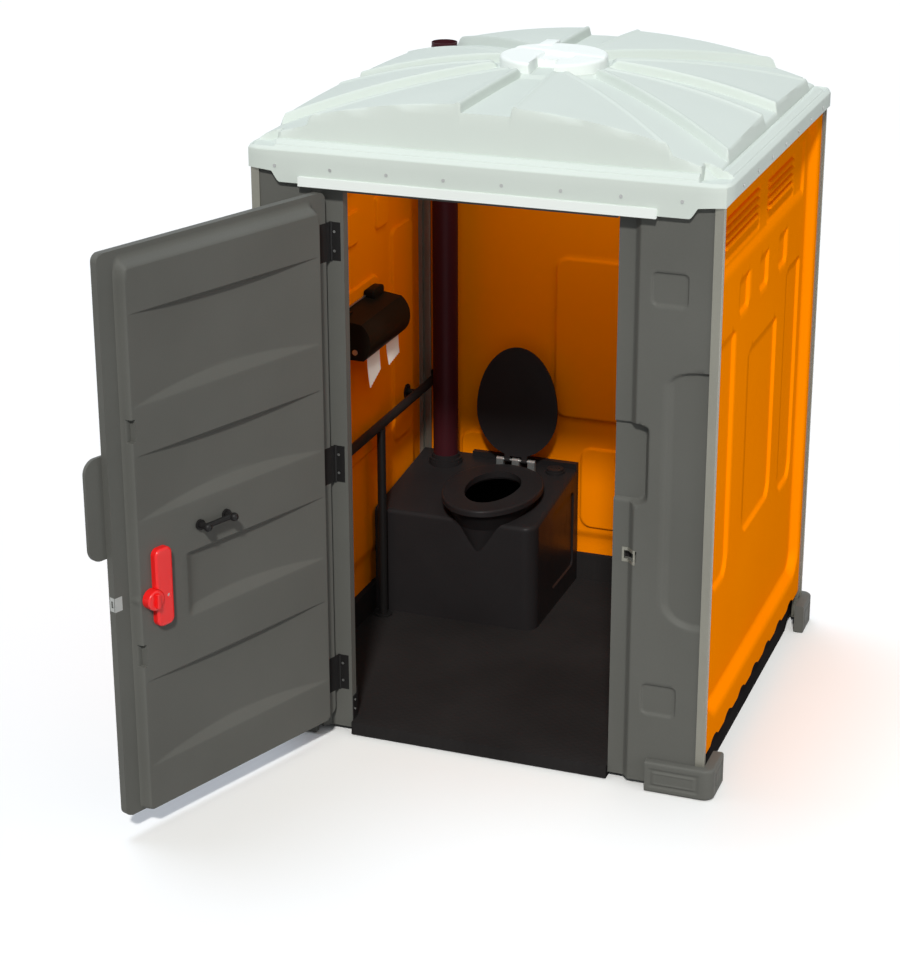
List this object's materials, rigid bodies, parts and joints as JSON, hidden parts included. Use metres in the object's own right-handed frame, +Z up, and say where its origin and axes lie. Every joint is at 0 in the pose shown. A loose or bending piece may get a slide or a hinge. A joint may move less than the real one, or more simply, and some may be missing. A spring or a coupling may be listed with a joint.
{
  "type": "portable toilet cabin",
  "caption": "Free-standing plastic toilet cabin with a hinged door that latches, a waste tank with a lidded seat, a vent pipe, a grab rail and a paper dispenser.",
  "frame": {"origin": "on the ground, under the middle of the cabin between its posts", "axes": "+X to the right seen from the front, +Y from the front to the back, +Z up"},
  "size_m": [1.7244, 2.4298, 2.256],
  "materials": {
    "orange_wall": "satin moulded polyethylene",
    "grey_shell": "satin moulded polyethylene",
    "black_plastic": "satin moulded polyethylene",
    "pipe_plastic": "satin extruded plastic",
    "roof_plastic": "translucent white, satin",
    "roof_trim": "glossy white",
    "post_metal": "mill finish",
    "bright_metal": "brushed",
    "dark_metal": "black paint",
    "rail_paint": "black powder coat",
    "hinge_chrome": "polished",
    "latch_red": "glossy red",
    "latch_grey": "light grey",
    "dispenser_brown": "smoky brown-black",
    "paper": "white tissue paper"
  },
  "bodies": {
    "cabin": {"corner_bumper_back_left": "grey_shell", "corner_bumper_back_right": "grey_shell", "corner_bumper_front_left": "grey_shell", "corner_bumper_front_right": "grey_shell", "corner_post_back_left": "post_metal", "corner_post_back_right": "post_metal", "corner_post_front_left": "post_metal", "corner_post_front_right": "post_metal", "dispenser_back": "dispenser_brown", "dispenser_hinge_pin": "bright_metal", "dispenser_spindle": "bright_metal", "door_header": "grey_shell", "door_sill": "black_plastic", "drip_strip": "roof_trim", "floor_pan": "black_plastic", "floor_skids": "black_plastic", "foot_bracket": "dark_metal", "grab_rail": "rail_paint", "hinge_jamb_leaves": "dark_metal", "hinge_pins": "bright_metal", "jamb_left": "grey_shell", "jamb_right": "grey_shell", "jamb_screws": "bright_metal", "lid_hinge_blocks": "hinge_chrome", "lid_hinge_pin": "hinge_chrome", "paper_tails": "paper", "pipe_collar": "black_plastic", "rail_flanges": "rail_paint", "rail_leg": "rail_paint", "roof_lens": "roof_plastic", "roof_ring": "roof_plastic", "roof_rivets": "bright_metal", "roof_shell": "roof_plastic", "seat_ring": "black_plastic", "strike_plate": "bright_metal", "tank_cap": "black_plastic", "vent_pipe": "pipe_plastic", "wall_back": "orange_wall", "wall_left": "orange_wall", "wall_right": "orange_wall", "waste_tank": "black_plastic"},
    "door": {"door_outer_skin": "grey_shell", "door_inner_skin": "grey_shell", "latch_case": "latch_grey", "latch_edge_plate": "bright_metal", "latch_grip": "latch_red", "pull_tab": "grey_shell", "coat_hook": "dark_metal", "hinge_door_leaves": "dark_metal", "door_screws": "bright_metal"},
    "latch": {"latch_knob": "latch_red", "latch_spindle": "bright_metal", "occupancy_dial": "latch_red"},
    "bolt": {"latch_bolt": "bright_metal"},
    "lid": {"seat_lid": "black_plastic"},
    "dispenser_cover": {"dispenser_cover": "dispenser_brown", "dispenser_lock": "bright_metal"},
    "roll_front": {"paper_roll_front": "paper"},
    "roll_rear": {"paper_roll_rear": "paper"}
  },
  "joints": [
    {"name": "door_swing", "type": "hinge", "parent": "cabin", "child": "door", "pos_m": [-0.512, -0.7032, 0.985], "axis": [0, 0, 1], "range_deg": [-8, 110.4]},
    {"name": "latch_turn", "type": "hinge", "parent": "door", "child": "latch", "pos_m": [-0.77637, -1.52883, 0.808], "axis": [0.9373, -0.3486, 0], "range_deg": [0, 90]},
    {"name": "bolt_slide", "type": "slide", "parent": "door", "child": "bolt", "axis": [-0.3486, -0.9373, 0], "range_m": [0, 0.0581]},
    {"name": "lid_swing", "type": "hinge", "parent": "cabin", "child": "lid", "pos_m": [-0.328, 0.604, 0.5473], "axis": [1, 0, 0], "range_deg": [0, 93]},
    {"name": "cover_swing", "type": "hinge", "parent": "cabin", "child": "dispenser_cover", "pos_m": [-0.729, 0.005, 1.312], "axis": [0, -1, 0], "range_deg": [0, 70]},
    {"name": "roll_front_spin", "type": "hinge", "parent": "cabin", "child": "roll_front", "pos_m": [-0.665, -0.08, 1.235], "axis": [0, 1, 0], "continuous": true},
    {"name": "roll_rear_spin", "type": "hinge", "parent": "cabin", "child": "roll_rear", "pos_m": [-0.665, 0.09, 1.235], "axis": [0, 1, 0], "continuous": true}
  ],
  "couplings": [
    {"joint": "bolt_slide", "follows": "latch_turn", "m_per_rad": 0.036924}
  ]
}
